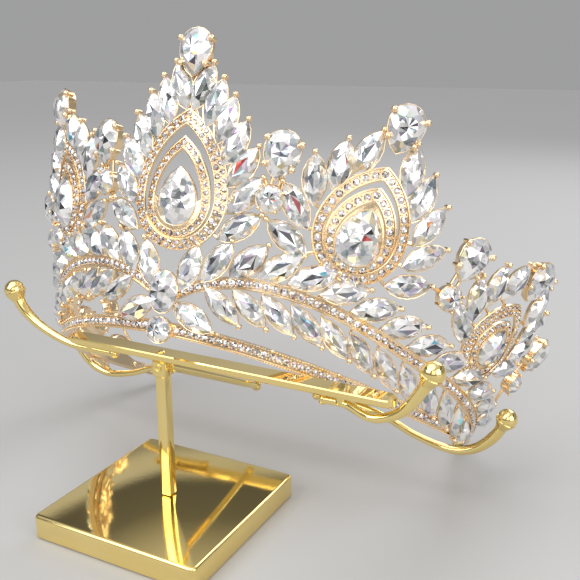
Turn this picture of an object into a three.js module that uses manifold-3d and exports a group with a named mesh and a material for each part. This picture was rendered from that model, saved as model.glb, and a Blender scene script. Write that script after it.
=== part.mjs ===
// Crystal crown resting on its display stand. Millimetres, +Z up, the crown's front faces -Y.
// The origin is the middle of the base plate's underside.
import * as THREE from 'three';
import * as BufferGeometryUtils from 'three/addons/utils/BufferGeometryUtils.js';
import Module from 'manifold-3d';

const wasm = await Module();
wasm.setup();

// ---------- driving dimensions ----------

// Crown: an open ring of metal, wrapped on a cone that widens upwards and leans back.
const ringRadius = 80;
const ringCentre = [2.4, 55.7, 21.4];
const lean = 40.4;                // degrees that the crown's axis leans back
const spin = 1.5;                 // degrees that the crown is turned on its axis as it rests
const flare = 25.2;               // degrees that its wall opens outwards
const bandEnd = 118;              // half of the arc that the band covers, degrees
const bandWidth = 3.6;
const loopLift = 2.2;             // the loops that close the band's ends, above its middle line
const bandRise = 6.56;            // how fast the band climbs towards its ends
const gap = 0.3;                  // clearance between two pieces

// Stones: length, width and height above the setting.
const leafStone = { length: 16.2, width: 8.2, height: 3.9 };
const dropStone = { length: 18.8, width: 13.8, height: 4.4, point: 'up' };
const pearStone = { length: 15.4, width: 11.4, height: 3.9, point: 'down' };
const smallDropStone = { length: 14.6, width: 11, height: 3.8, point: 'up' };
const ovalStone = { length: 14, width: 10.4, height: 3.8, point: 'none' };
const roundStone = { length: 8.6, width: 8.6, height: 3.4, point: 'none' };
const stoneSides = 10;
const peakSides = 20;
const cupWall = 0.7;
const cupFloor = 1.3;
const cupTop = 2.5;
const leafBack = -0.6;

// Peaks: place along the ring (degrees), the gothic drops that bound the peak and its openings
// (half width, bottom and point), where an opening ends below, the middle of the stone, and the
// middle of the tip stone.
const centrePeak = {
  name: 'centre', angle: 0.5, outer: [17.1, 26, 71.8], stone: dropStone, stoneAt: 43.4, tipAt: 89.2,
  openings: [
    { outside: [12.9, 29.6, 66.4], inside: [11.6, 30, 62.9], from: 37 },
    { outside: [9, 33, 58.8], inside: [8.3, 33, 55.2], from: 43 },
  ],
};
const middlePeak = {
  name: 'middle', angle: 35.2, outer: [15.2, 30.4, 68.9], stone: dropStone, stoneAt: 45.6, tipAt: 81,
  openings: [{ outside: [11.3, 34.2, 64], inside: [10.6, 34.6, 61.4], from: 51 }],
};
const sidePeak = {
  name: 'side', angle: 74.4, outer: [13.2, 22.4, 55], stone: smallDropStone, stoneAt: 37, tipAt: 65,
  openings: [{ outside: [9.5, 26, 50.4], inside: [8.9, 26.4, 48.1], from: 40 }],
};

// Leaves on one side of each peak: middle of the leaf from the peak's centre line (x along the
// wall, y up it) and its direction in degrees from straight up.
const peakLeafRows = {
  centre: [
    { x: 3.9, y: 78.6, turn: 21 }, { x: 8.9, y: 73.8, turn: 16 }, { x: 13.4, y: 68.7, turn: 16 },
    { x: 17.3, y: 62, turn: 24 }, { x: 20.8, y: 54.6, turn: 33 }, { x: 22.4, y: 45.9, turn: 40 },
    { x: 21.9, y: 35.8, turn: 56 },
  ],
  middle: [
    { x: 7.5, y: 70.4, turn: -12 }, { x: 14.1, y: 63.9, turn: 4 }, { x: 19.6, y: 56.8, turn: 20 },
    { x: 22, y: 47, turn: 49 }, { x: 20.8, y: 36.8, turn: 70 },
  ],
  side: [
    { x: 9.9, y: 59, turn: -8 }, { x: 16.6, y: 52.8, turn: 12 }, { x: 20.1, y: 45.2, turn: 32 },
    { x: 19, y: 35.8, turn: 56 },
  ],
};

// Pairs of a pear and a round stone that link one peak to the next, and the arc of the bar that
// joins them to the leaves' tips.
const links = [
  { name: 'inner_link', angle: 18.1, round: 47.9, pear: 61.8, bar: [15, 21] },
  { name: 'middle_link', angle: 56.6, round: 41.2, pear: 55.4, bar: [50.4, 61] },
  { name: 'outer_link', angle: 97.2, round: 38, pear: 52.4, bar: [88, 98.6] },
];
const linkBarAt = 40;             // how far up the wall the bars run
const rooted = 0.9;               // how far a leaf's base reaches into its rim or stem

// Laurel branch: height of its stem above the ring along the arc.
const stemEnd = 108;
const stem = [
  { angle: 2, height: 10.6 }, { angle: 9, height: 15.2 }, { angle: 18.5, height: 18.7 },
  { angle: 32, height: 19.3 }, { angle: 46, height: 17.6 }, { angle: 60, height: 15.9 },
  { angle: 78, height: 15.5 }, { angle: 93, height: 14.4 }, { angle: stemEnd, height: 11.6 },
];
const stemWidth = 4;
const upperLeafCount = 14;
const lowerLeafCount = 12;        // after the first one beside the oval stone
const leafOffset = 7;             // from the stem up or down to the middle of a leaf

// Stand
const plateSide = 66;
const plateHeight = 8.6;
const postSide = 4;
const barTop = 62.9;
const barWidth = 7;
const barHeight = 2.4;
const barSpan = [-39.6, 84];
const rodRadius = 1.4;
const ballRadius = 3.7;
const rearPlane = 63;             // how far behind the post the rear arms lie
const rearBarTop = 32.2;
const rearBarSpan = [-52, 56.8];
const stayEnd = 2.1;

// ---------- helpers ----------

const radians = THREE.MathUtils.degToRad;
const coneSlope = Math.sin(radians(flare));
const apexDistance = ringRadius / coneSlope;

// The crown is laid out flat and then wrapped on its cone: x runs along the ring from the given
// angle, y climbs the wall and z stands off it. The result is in the crown's own frame.
function wrap(angle, x, y, z) {
  const reach = Math.hypot(x, apexDistance + y);
  const turn = Math.atan2(x, apexDistance + y) / coneSlope + radians(angle);
  const radius = reach * coneSlope + z * Math.cos(radians(flare));
  const height = (reach - apexDistance) * Math.cos(radians(flare)) - z * coneSlope;
  return new THREE.Vector3(radius * Math.sin(turn), -radius * Math.cos(turn), height);
}

// A closed body through loops of points that all have the same count, with both ends capped.
function loftGeometry(loops, closed = false) {
  const count = loops[0].length;
  const positions = loops.flat().flatMap((p) => [p.x, p.y, p.z]);
  const index = [];
  const last = closed ? loops.length : loops.length - 1;
  for (let ring = 0; ring < last; ring += 1) {
    for (let i = 0; i < count; i += 1) {
      const a = ring * count + i;
      const b = ring * count + (i + 1) % count;
      const c = ((ring + 1) % loops.length) * count + i;
      const d = ((ring + 1) % loops.length) * count + (i + 1) % count;
      index.push(a, b, d, a, d, c);
    }
  }
  if (!closed) {
    const top = (loops.length - 1) * count;
    for (let i = 1; i < count - 1; i += 1) {
      index.push(0, i + 1, i);
      index.push(top, top + i, top + i + 1);
    }
  }
  const geometry = new THREE.BufferGeometry();
  geometry.setAttribute('position', new THREE.Float32BufferAttribute(positions, 3));
  geometry.setIndex(index);
  return geometry;
}

function toSolid(geometry) {
  const bare = geometry.clone();
  bare.deleteAttribute('normal');
  bare.deleteAttribute('uv');
  const merged = BufferGeometryUtils.mergeVertices(bare, 1e-4);
  const vertProperties = new Float32Array(merged.attributes.position.array);
  const triVerts = new Uint32Array(merged.index.array);
  return new wasm.Manifold(new wasm.Mesh({ numProp: 3, vertProperties, triVerts }));
}

function toGeometry(solid) {
  const mesh = solid.getMesh();
  const geometry = new THREE.BufferGeometry();
  geometry.setAttribute('position', new THREE.Float32BufferAttribute(mesh.vertProperties, 3));
  geometry.setIndex(new THREE.Uint32BufferAttribute(mesh.triVerts, 1));
  return geometry;
}

// Everything in one body. Small pockets that close between the pieces are filled.
function join(geometries) {
  const whole = geometries.map(toSolid).reduce((sum, piece) => sum.add(piece));
  const bodies = whole.decompose().filter((body) => body.volume() > 0);
  return bodies.reduce((sum, body) => sum.add(body)).simplify(0.02);
}

// ---------- outlines (lists of [x, y], anticlockwise) ----------

function marquiseOutline(length, width) {
  const quarter = [[0, 1], [-0.72, 0.52], [-1, 0], [-0.72, -0.52]];
  const left = quarter.map(([x, y]) => [x * width / 2, y * length / 2]);
  return [...left, ...left.map(([x, y]) => [-x, -y])];
}

// A gothic drop: a half circle below, and two arcs that meet in a point.
function dropOutline(halfWidth, bottom, point, count) {
  const middle = bottom + halfWidth;
  const rise = point - middle;
  const arcRadius = (rise * rise + halfWidth * halfWidth) / (2 * halfWidth);
  const sweep = Math.asin(rise / arcRadius);
  const outline = [];
  const beside = Math.round(count / 4);
  const below = count - 2 * beside;
  for (let i = 0; i < beside; i += 1) {
    const a = sweep * i / beside;
    outline.push([arcRadius * Math.cos(a) - arcRadius + halfWidth, middle + arcRadius * Math.sin(a)]);
  }
  for (let i = 0; i < beside; i += 1) {
    const a = sweep * (1 - i / beside);
    outline.push([arcRadius - halfWidth - arcRadius * Math.cos(a), middle + arcRadius * Math.sin(a)]);
  }
  for (let i = 0; i < below; i += 1) {
    const a = Math.PI * (1 + i / below);
    outline.push([halfWidth * Math.cos(a), middle + halfWidth * Math.sin(a)]);
  }
  return outline;
}

function stoneOutline(stone, grow, sides = stoneSides) {
  const halfWidth = stone.width / 2 + grow;
  const halfLength = stone.length / 2 + grow;
  if (stone.point === 'none') {
    return Array.from({ length: sides }, (_, i) => {
      const a = 2 * Math.PI * (i + 0.5) / sides;
      return [halfWidth * Math.cos(a), halfLength * Math.sin(a)];
    });
  }
  const drop = dropOutline(halfWidth, -halfLength, halfLength, sides);
  return stone.point === 'up' ? drop : drop.map(([x, y]) => [-x, -y]);
}

const scaled = (outline, factor) => outline.map(([x, y]) => [x * factor, y * factor]);

// ---------- crown pieces ----------

// A point of an outline that is turned and moved on the wall, then wrapped.
function placed(place, outline, z) {
  const turn = radians(place.turn ?? 0);
  return outline.map(([u, v]) => wrap(
    place.angle,
    (place.x ?? 0) + u * Math.cos(turn) + v * Math.sin(turn),
    place.y - u * Math.sin(turn) + v * Math.cos(turn),
    z,
  ));
}

// A pointed stone on its closed setting: eight facets up to a table. The base can be drawn out to
// a point of the wall, given from the same place as x and y.
function leaf(place, base) {
  const outline = marquiseOutline(leafStone.length, leafStone.width);
  if (base) {
    const turn = radians(place.turn);
    const [x, y] = [base[0] - (place.x ?? 0), base[1] - place.y];
    outline[4] = [x * Math.cos(turn) - y * Math.sin(turn), x * Math.sin(turn) + y * Math.cos(turn)];
  }
  const table = scaled(marquiseOutline(leafStone.length, leafStone.width), 0.5);
  return loftGeometry([placed(place, outline, leafBack), placed(place, table, leafStone.height)]);
}

// Where the lower point of a leaf lies on the wall.
function leafBase(place) {
  const turn = radians(place.turn);
  const half = leafStone.length / 2;
  return [(place.x ?? 0) - half * Math.sin(turn), place.y - half * Math.cos(turn)];
}

// A strip of metal that follows the ring, with its height and width given along the arc.
function strip(ends, steps, heightAt, width, back, front) {
  const [from, to] = [Math.min(...ends), Math.max(...ends)];
  const loops = [];
  for (let i = 0; i <= steps; i += 1) {
    const angle = from + (to - from) * i / steps;
    const y = heightAt(angle) / Math.cos(radians(flare));
    loops.push([
      wrap(angle, 0, y - width / 2, back), wrap(angle, 0, y + width / 2, back),
      wrap(angle, 0, y + width / 2, front), wrap(angle, 0, y - width / 2, front),
    ]);
  }
  return loftGeometry(loops);
}

// The cup under a main stone: a tapered back, a wall and the seat of the stone.
function cup(stone, place) {
  return loftGeometry([
    placed(place, stoneOutline(stone, -0.6), -1.3),
    placed(place, stoneOutline(stone, gap + cupWall), cupTop),
    placed(place, stoneOutline(stone, gap), cupTop),
    placed(place, stoneOutline(stone, gap), cupFloor),
  ]);
}

// The cutter of the opening between two drops: up one side, over the point and down the other.
function openingCutter(at, { outside, inside, from }) {
  const over = (shape) => {
    const right = [0, 0.35, 0.7, 0.9].map((part) => {
      const y = from + (shape[2] - from) * part;
      return [rimHalfWidth(shape, y), y];
    });
    return [...right, [0, shape[2]], ...right.map(([x, y]) => [-x, y]).reverse()];
  };
  const outer = over(outside);
  const inner = over(inside);
  const below = -4;
  const above = 6;
  return loftGeometry(outer.map((point, i) => [
    ...placed(at, [inner[i]], below), ...placed(at, [inner[i]], above),
    ...placed(at, [point], above), ...placed(at, [point], below),
  ]));
}

// A peak: a plate that rises from its rim to the stone's wall, with the openings cut through.
function peakPlate(peak) {
  const at = { angle: peak.angle, y: 0 };
  const seat = { angle: peak.angle, y: peak.stoneAt };
  const outer = dropOutline(...peak.outer, peakSides);
  const body = toSolid(loftGeometry([
    placed(at, outer, -0.9),
    placed(at, outer, 1.5),
    placed(seat, stoneOutline(peak.stone, gap + cupWall, peakSides), cupTop),
    placed(seat, stoneOutline(peak.stone, gap, peakSides), cupTop),
    placed(seat, stoneOutline(peak.stone, gap, peakSides), cupFloor),
  ]));
  return peak.openings.reduce((left, opening) => (
    left.subtract(toSolid(openingCutter(at, opening)))), body);
}

// Half width of a peak's outer rim at a given height.
function rimHalfWidth(shape, y) {
  const [halfWidth, bottom, point] = shape;
  const middle = bottom + halfWidth;
  if (y < middle) return Math.sqrt(halfWidth ** 2 - (middle - y) ** 2);
  const arcRadius = ((point - middle) ** 2 + halfWidth ** 2) / (2 * halfWidth);
  return Math.sqrt(arcRadius ** 2 - (y - middle) ** 2) - arcRadius + halfWidth;
}

// The place just inside a peak's outer rim that is nearest to a point of the wall.
function rimPoint(shape, [x, y]) {
  const [halfWidth, bottom, point] = shape;
  const middle = bottom + halfWidth;
  if (y < middle) {
    const factor = (halfWidth - rooted) / Math.hypot(x, middle - y);
    return [x * factor, middle - (middle - y) * factor];
  }
  const level = Math.min(y, point - 2);
  return [Math.sign(x) * (rimHalfWidth(shape, level) - rooted), level];
}

function peakLeaves(peak) {
  return peakLeafRows[peak.name].flatMap((row) => [-1, 1].map((side) => {
    const place = { angle: peak.angle, x: side * row.x, y: row.y, turn: side * row.turn };
    return leaf(place, rimPoint(peak.outer, leafBase(place)));
  }));
}

// The neck that carries a peak's tip stone.
function tipNeck({ angle, outer, tipAt }) {
  const [bottom, top] = [outer[2] - 2.5, tipAt - 5];
  const outline = [[-1.1, bottom], [1.1, bottom], [1.1, top], [-1.1, top]];
  return loftGeometry([placed({ angle, y: 0 }, outline, -0.8), placed({ angle, y: 0 }, outline, 1)]);
}

function stemHeight(angle) {
  const points = stem.map((row) => new THREE.Vector3(row.angle, row.height, 0));
  const curve = new THREE.CatmullRomCurve3(points, false, 'centripetal');
  let low = 0;
  let high = 1;
  for (let i = 0; i < 30; i += 1) {
    const half = (low + high) / 2;
    if (curve.getPoint(half).x < angle) low = half;
    else high = half;
  }
  return curve.getPoint(low).y;
}

const bandHeight = (angle) => bandRise * (1 - Math.cos(radians(angle))) ** 2;

const stemPlace = (angle) => stemHeight(Math.abs(angle)) / Math.cos(radians(flare));

// A leaf of the branch on the way from the front to the end: its lower point is drawn to the stem.
function branchLeaf(side, angle, turn, offset) {
  const place = { angle: side * angle, y: stemPlace(angle) + offset, turn: side * turn };
  const [x] = leafBase(place);
  const baseAngle = Math.abs(place.angle + x / (radians(1) * ringRadius));
  return leaf(place, [x, stemPlace(baseAngle) + Math.sign(offset) * (stemWidth / 2 - rooted)]);
}

function branchLeaves(side) {
  const step = (first, each, i) => first + each * i + 0.13 * i * i;
  const upper = Array.from({ length: upperLeafCount }, (_, i) => (
    branchLeaf(side, step(5, 5.7, i), Math.min(16 + 10.5 * i, 63), leafOffset)));
  const lower = Array.from({ length: lowerLeafCount }, (_, i) => (
    branchLeaf(side, step(13.7, 5.7, i), 124, -leafOffset - 0.6)));
  const first = leaf({ angle: side * 7.6, y: 5.6, turn: side * 113 }, [side * -8.4, 9.4]);
  return [first, ...upper, ...lower];
}

function stemBall(side) {
  const at = wrap(side * stemEnd, 0, stemPlace(stemEnd), 0.3);
  return new THREE.SphereGeometry(2, 6, 5).translate(at.x, at.y, at.z);
}

// The wire loop that closes an end of the band.
function endLoop(side) {
  const angle = side * (bandEnd + 1.8);
  const loop = new THREE.TorusGeometry(3, 0.9, 5, 10);
  loop.rotateX(Math.PI / 2);
  loop.rotateZ(radians(angle));
  const at = wrap(angle, 0, bandHeight(bandEnd) / Math.cos(radians(flare)) + loopLift, 0.3);
  return loop.translate(at.x, at.y, at.z);
}

// Every main stone: its name, its cut and its place on the wall.
const peaks = [
  centrePeak,
  ...[-1, 1].map((side) => ({ ...middlePeak, side, angle: side * middlePeak.angle })),
  ...[-1, 1].map((side) => ({ ...sidePeak, side, angle: side * sidePeak.angle })),
];
const sideName = (side) => ({ '-1': '_left', 1: '_right' }[side] ?? '');

const mainStones = [
  { name: 'front_round_stone', stone: roundStone, place: { angle: 0, y: -0.2 } },
  { name: 'front_oval_stone', stone: ovalStone, place: { angle: 0, y: 12.3 } },
  ...peaks.flatMap((peak) => [
    {
      name: `${peak.name}_drop_stone${sideName(peak.side)}`,
      stone: peak.stone,
      place: { angle: peak.angle, y: peak.stoneAt, inPeak: true },
    },
    {
      name: `${peak.name}_tip_stone${sideName(peak.side)}`,
      stone: pearStone,
      place: { angle: peak.angle, y: peak.tipAt },
    },
  ]),
  ...links.flatMap((link) => [-1, 1].flatMap((side) => [
    {
      name: `${link.name}_round_stone${sideName(side)}`,
      stone: roundStone,
      place: { angle: side * link.angle, y: link.round },
    },
    {
      name: `${link.name}_pear_stone${sideName(side)}`,
      stone: pearStone,
      place: { angle: side * link.angle, y: link.pear },
    },
  ])),
];

// A link between two peaks: a bar from leaf to leaf and a neck up to the pear.
function link({ angle, pear, bar }, side) {
  const neck = [[-1.1, linkBarAt], [1.1, linkBarAt], [1.1, pear - 4], [-1.1, pear - 4]];
  const at = { angle: side * angle, y: 0 };
  const height = () => linkBarAt * Math.cos(radians(flare));
  return [
    strip(bar.map((end) => side * end), 2, height, 2.4, -1, 0.8),
    loftGeometry([placed(at, neck, -0.8), placed(at, neck, 1)]),
  ];
}

function crownFrame() {
  const pieces = [
    strip([-bandEnd, bandEnd], 32, bandHeight, bandWidth, -1.2, 1.2),
    ...[-1, 1].flatMap((side) => [
      strip([2 * side, stemEnd * side], 16, (angle) => stemHeight(Math.abs(angle)), stemWidth, -1.1, 1.6),
      stemBall(side),
      ...branchLeaves(side),
      ...links.flatMap((row) => link(row, side)),
      endLoop(side),
    ]),
    ...peaks.flatMap((peak) => [
      toGeometry(peakPlate(peak)),
      ...peakLeaves(peak),
      tipNeck(peak),
    ]),
    ...mainStones.filter(({ place }) => !place.inPeak).map(({ stone, place }) => cup(stone, place)),
  ];
  return toGeometry(join(pieces));
}

// A cut stone on its own axes: pavilion below, girdle, facets up to a table.
function cutStone(stone) {
  const outline = stoneOutline(stone, 0);
  const level = (factor, z) => scaled(outline, factor).map(([x, y]) => new THREE.Vector3(x, y, z));
  return loftGeometry([
    level(0.6, 0),
    level(1, 0.9),
    level(1, 1.3),
    level(0.58, stone.height),
  ]);
}

// The crown's own frame, leaning back on the stand.
const crown = new THREE.Group();
crown.position.set(...ringCentre);
crown.rotation.set(-radians(lean), 0, radians(spin));

const crownGold = new THREE.MeshStandardMaterial({ color: '#e6b077', roughness: 0.22, metalness: 1 });
const crystal = new THREE.MeshStandardMaterial({ color: '#e9eef4', roughness: 0.04, metalness: 0.1 });
const standGold = new THREE.MeshStandardMaterial({ color: '#e8bf4e', roughness: 0.15, metalness: 1 });

function addMesh(parent, name, geometry, material) {
  const mesh = new THREE.Mesh(geometry, material);
  mesh.name = name;
  parent.add(mesh);
  return mesh;
}

addMesh(crown, 'crown_frame', crownFrame(), crownGold);
for (const { name, stone, place } of mainStones) {
  const mesh = addMesh(crown, name, cutStone(stone), crystal);
  const along = wrap(place.angle, 1, place.y, 0).sub(wrap(place.angle, -1, place.y, 0)).normalize();
  const up = wrap(place.angle, 0, place.y + 1, 0).sub(wrap(place.angle, 0, place.y - 1, 0)).normalize();
  const out = new THREE.Vector3().crossVectors(along, up);
  mesh.setRotationFromMatrix(new THREE.Matrix4().makeBasis(along, up, out));
  mesh.position.copy(wrap(place.angle, 0, place.y, cupFloor + gap));
}

// ---------- stand ----------

const stand = new THREE.Group();

function plate() {
  const edge = 0.8;
  const square = (half, z) => [[-half, -half], [half, -half], [half, half], [-half, half]]
    .map(([x, y]) => new THREE.Vector3(x, y, z));
  const half = plateSide / 2;
  return loftGeometry([
    square(half - edge, 0), square(half, edge),
    square(half, plateHeight - edge), square(half - edge, plateHeight),
  ]);
}

function box(width, depth, from, to, x = 0, y = 0) {
  return new THREE.BoxGeometry(width, depth, to - from).translate(x, y, (from + to) / 2);
}

// A flat bar with round ends, lying along X.
function bar([from, to], y, top) {
  const radius = barWidth / 2;
  const shape = new THREE.Shape();
  shape.absarc(to - radius, 0, radius, -Math.PI / 2, Math.PI / 2, false);
  shape.absarc(from + radius, 0, radius, Math.PI / 2, 3 * Math.PI / 2, false);
  const body = new THREE.ExtrudeGeometry(shape, { depth: barHeight, bevelEnabled: false, curveSegments: 8 });
  return body.translate(0, y, top - barHeight);
}

// A bent rod in a plane across the stand, with a ball on its far end and a rivet under the bar.
function arm(path, y, rivetX, rivetTop) {
  const points = path.map(([x, z]) => new THREE.Vector3(x, y, z));
  const curve = new THREE.CatmullRomCurve3(points, false, 'centripetal');
  const steps = 11;
  const loops = [];
  for (let i = 0; i <= steps; i += 1) {
    const at = curve.getPointAt(i / steps);
    const ahead = curve.getTangentAt(i / steps);
    const side = new THREE.Vector3(0, 1, 0);
    const up = new THREE.Vector3().crossVectors(ahead, side);
    const radius = i === 0 ? rodRadius * 0.6 : rodRadius;
    loops.push(Array.from({ length: 8 }, (_, k) => {
      const a = 2 * Math.PI * k / 8;
      return at.clone().addScaledVector(side, radius * Math.cos(a)).addScaledVector(up, radius * Math.sin(a));
    }));
  }
  const end = points[points.length - 1];
  const ball = new THREE.SphereGeometry(ballRadius, 12, 6).translate(end.x, end.y, end.z);
  const rivetBottom = rivetTop - 2.4;
  const rivet = new THREE.CylinderGeometry(1.7, 1.7, rivetTop - rivetBottom, 8);
  rivet.rotateX(Math.PI / 2).translate(rivetX, y, (rivetTop + rivetBottom) / 2);
  return toGeometry(join([loftGeometry(loops), ball, rivet]));
}

// The rod that carries the rear bar: from behind the post, sloping back, with a round end.
function stay() {
  const from = new THREE.Vector3(0, postSide / 2 + gap + 1.5, barTop - 7);
  const to = new THREE.Vector3(0, rearPlane, rearBarTop - barHeight - gap - stayEnd - 1);
  const along = to.clone().sub(from);
  const rod = new THREE.CylinderGeometry(rodRadius, rodRadius, along.length(), 8);
  const turned = new THREE.Quaternion().setFromUnitVectors(new THREE.Vector3(0, 1, 0), along.normalize());
  rod.applyQuaternion(turned).translate((from.x + to.x) / 2, (from.y + to.y) / 2, (from.z + to.z) / 2);
  return toGeometry(join([rod, new THREE.SphereGeometry(stayEnd, 10, 6).translate(to.x, to.y, to.z)]));
}

addMesh(stand, 'base_plate', plate(), standGold);
const bracket = [
  box(postSide, postSide, plateHeight + gap, barTop - barHeight - 6),
  box(postSide + 1.4, postSide + 1.4, barTop - barHeight - 6.4, barTop - barHeight - gap),
];
addMesh(stand, 'post', toGeometry(join(bracket)), standGold);
addMesh(stand, 'front_bar', bar(barSpan, 0, barTop), standGold);
addMesh(stand, 'rear_bar', bar(rearBarSpan, rearPlane, rearBarTop), standGold);
addMesh(stand, 'rear_stay', stay(), standGold);

const frontUnder = barTop - barHeight - gap;
const rearUnder = rearBarTop - barHeight - gap;
const frontRod = frontUnder - rodRadius - 0.3;
const rearRod = rearUnder - rodRadius - 0.3;
addMesh(stand, 'front_arm_left', arm([
  [-20.9, frontRod], [-30, frontRod], [-41.5, frontRod + 0.4], [-54.4, 63.2], [-62.6, 69], [-66.3, 75.6],
], 0, -31, frontUnder), standGold);
addMesh(stand, 'front_arm_right', arm([
  [60.5, frontRod - 0.6], [68, 57.7], [76.3, 55], [85.4, 58.8], [91.4, 67], [94.3, 72.8],
], 0, 66, frontUnder), standGold);
const rearPath = [
  [28, rearRod], [42, rearRod], [57.7, 24.7], [68.5, 20.4], [79, 17.8], [86.5, 17.6], [93.5, 20.4], [99.5, 26.4],
  [103.5, 34.1],
];
const mirrored = rearPath.map(([x, z]) => [2 * ringCentre[0] - x, z]);
addMesh(stand, 'rear_arm_right', arm(rearPath, rearPlane, 44, rearUnder), standGold);
addMesh(stand, 'rear_arm_left', arm(mirrored, rearPlane, 2 * ringCentre[0] - 44, rearUnder), standGold);

const group = new THREE.Group();
group.add(crown, stand);
export default group;
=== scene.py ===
import random
from math import asin, atan2, copysign, cos, degrees, dist, hypot, pi, radians, remainder, sin, sqrt

import bmesh
import bpy
from mathutils import Matrix, Vector


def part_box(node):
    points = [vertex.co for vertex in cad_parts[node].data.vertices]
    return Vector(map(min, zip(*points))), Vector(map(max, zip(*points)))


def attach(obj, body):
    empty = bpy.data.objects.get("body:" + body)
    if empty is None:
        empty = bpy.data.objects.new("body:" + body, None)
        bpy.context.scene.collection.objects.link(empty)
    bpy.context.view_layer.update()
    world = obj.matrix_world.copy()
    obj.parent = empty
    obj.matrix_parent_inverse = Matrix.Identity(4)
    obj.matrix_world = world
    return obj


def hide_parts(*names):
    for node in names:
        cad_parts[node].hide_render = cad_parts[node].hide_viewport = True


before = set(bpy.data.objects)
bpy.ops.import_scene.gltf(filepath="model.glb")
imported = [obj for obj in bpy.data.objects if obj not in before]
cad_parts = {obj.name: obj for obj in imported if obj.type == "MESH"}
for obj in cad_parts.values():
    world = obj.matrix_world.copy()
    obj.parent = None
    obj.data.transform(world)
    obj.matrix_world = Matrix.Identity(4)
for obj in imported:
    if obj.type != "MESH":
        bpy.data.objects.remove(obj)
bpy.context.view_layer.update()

millimetre = 0.001
print("frame loaded:", len(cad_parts), "nodes")


# The crown's wall is a cone that widens upwards and leans back. Millimetres and degrees.
crown = {
    "centre": (2.4, 55.7, 21.4), "lean": 40.4, "ringRadius": 80, "flare": 25.2, "spin": 1.5,
    "bandEnd": 118, "bandRise": 6.56, "stemStart": 3.2, "stemEnd": 108, "stemKnob": 2.1,
}
slope = sin(radians(crown["flare"]))
rise = cos(radians(crown["flare"]))
apex = crown["ringRadius"] / slope  # from the cone's point to the ring, along the wall
crownPlace = (Matrix.Translation(crown["centre"]) @ Matrix.Rotation(radians(-crown["lean"]), 4, "X")
              @ Matrix.Rotation(radians(crown["spin"]), 4, "Z"))
standPlace = Matrix.Identity(4)


def onWall(angle, x, y, z):
    # x runs along the ring from the angle, y climbs the wall, z stands off it.
    reach = hypot(x, apex + y)
    turn = atan2(x, apex + y) / slope + radians(angle)
    radius = reach * slope + z * rise
    return Vector((radius * sin(turn), -radius * cos(turn), (reach - apex) * rise - z * slope))


def onSpot(angle, x, y, turn=0.0, lift=0.0, tip=0.0):
    # A small place on the wall: turned in the wall, lifted off it and tipped about its own length.
    c, s = cos(radians(turn)), sin(radians(turn))
    ct, st = cos(radians(tip)), sin(radians(tip))

    def place(u, v, w):
        across, up = u * ct + w * st, w * ct - u * st
        return onWall(angle, x + across * c + v * s, y - across * s + v * c, lift + up)

    return place


def fullTurn(count):
    return [2 * pi * i / count for i in range(count)]


class Shape:
    # Points and faces of one piece, with a painted reflection tint and a tilt for each face of a cut stone.
    def __init__(self):
        self.points, self.faces, self.tints, self.tilts = [], [], [], []

    def add(self, points, faces):
        first = len(self.points)
        self.points.extend(points)
        self.faces.extend(tuple(first + i for i in face) for face in faces)

    def facet(self, points, tint, tilt):
        self.add(points, [range(len(points))])
        self.tints.append(tint)
        self.tilts.append(tilt)

    def loft(self, loops, closed=False):
        # A tube through loops of equally many points, capped unless it closes on itself.
        count, rows = len(loops[0]), len(loops)
        faces = []
        for row in range(rows if closed else rows - 1):
            after = (row + 1) % rows
            for i in range(count):
                j = (i + 1) % count
                faces.append((row * count + i, row * count + j, after * count + j, after * count + i))
        if not closed:
            faces.append(tuple(reversed(range(count))))
            faces.append(tuple(range((rows - 1) * count, rows * count)))
        self.add([p for loop in loops for p in loop], faces)

    def ball(self, centre, radius, detail):
        points, faces = unitBall[detail]
        self.add([centre + p * radius for p in points], faces)

    def rod(self, path, radius, sides):
        # A round wire along points; radius is one number or one for each point.
        radii = radius if isinstance(radius, (list, tuple)) else [radius] * len(path)
        loops, side = [], None
        for i, point in enumerate(path):
            ahead = (path[min(i + 1, len(path) - 1)] - path[max(i - 1, 0)]).normalized()
            side = side - ahead * side.dot(ahead) if side else ahead.orthogonal()
            side.normalize()
            up = ahead.cross(side)
            loops.append([point + (side * cos(a) + up * sin(a)) * radii[i] for a in fullTurn(sides)])
        self.loft(loops)


def makeUnitBall(detail):
    ball = bmesh.new()
    bmesh.ops.create_icosphere(ball, subdivisions=detail, radius=1)
    points = [v.co.copy() for v in ball.verts]
    faces = [[v.index for v in f.verts] for f in ball.faces]
    ball.free()
    return points, faces


unitBall = {detail: makeUnitBall(detail) for detail in (1, 2, 3, 4)}


def putPiece(name, mesh, material, standsFor, crease):
    # Every piece ends up here: its shading, material and body, and the nodes it stands for are hidden.
    if crease:
        mesh.shade_smooth()
        mesh.set_sharp_from_angle(angle=radians(crease))
    mesh.materials.append(material)
    piece = bpy.data.objects.new(name, mesh)
    bpy.context.scene.collection.objects.link(piece)
    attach(piece, "root")
    if standsFor:
        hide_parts(*standsFor)


def makePiece(name, shape, material, place=crownPlace, standsFor=(), crease=38):
    mesh = bpy.data.meshes.new(name)
    mesh.from_pydata([(place @ p) * millimetre for p in shape.points], [], shape.faces)
    stones = bool(shape.tints)
    if stones:
        # Each facet's painted reflection tint goes into a face attribute.
        tints = mesh.attributes.new("paintedFacetReflection", "FLOAT_COLOR", "FACE")
        tints.data.foreach_set("color", [c for tint in shape.tints for c in tint])
        turned = place.to_3x3()
        tilts = mesh.attributes.new("facetTilt", "FLOAT_VECTOR", "FACE")
        tilts.data.foreach_set("vector", [c for tilt in shape.tilts for c in turned @ tilt])
    work = bmesh.new()
    work.from_mesh(mesh)
    bmesh.ops.remove_doubles(work, verts=work.verts, dist=1e-7)
    bmesh.ops.recalc_face_normals(work, faces=work.faces)
    work.to_mesh(mesh)
    work.free()
    putPiece(name, mesh, material, standsFor, None if stones else crease)


# Materials

def setInputs(node, values):
    for name, value in values.items():
        node.inputs[name].default_value = value


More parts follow.
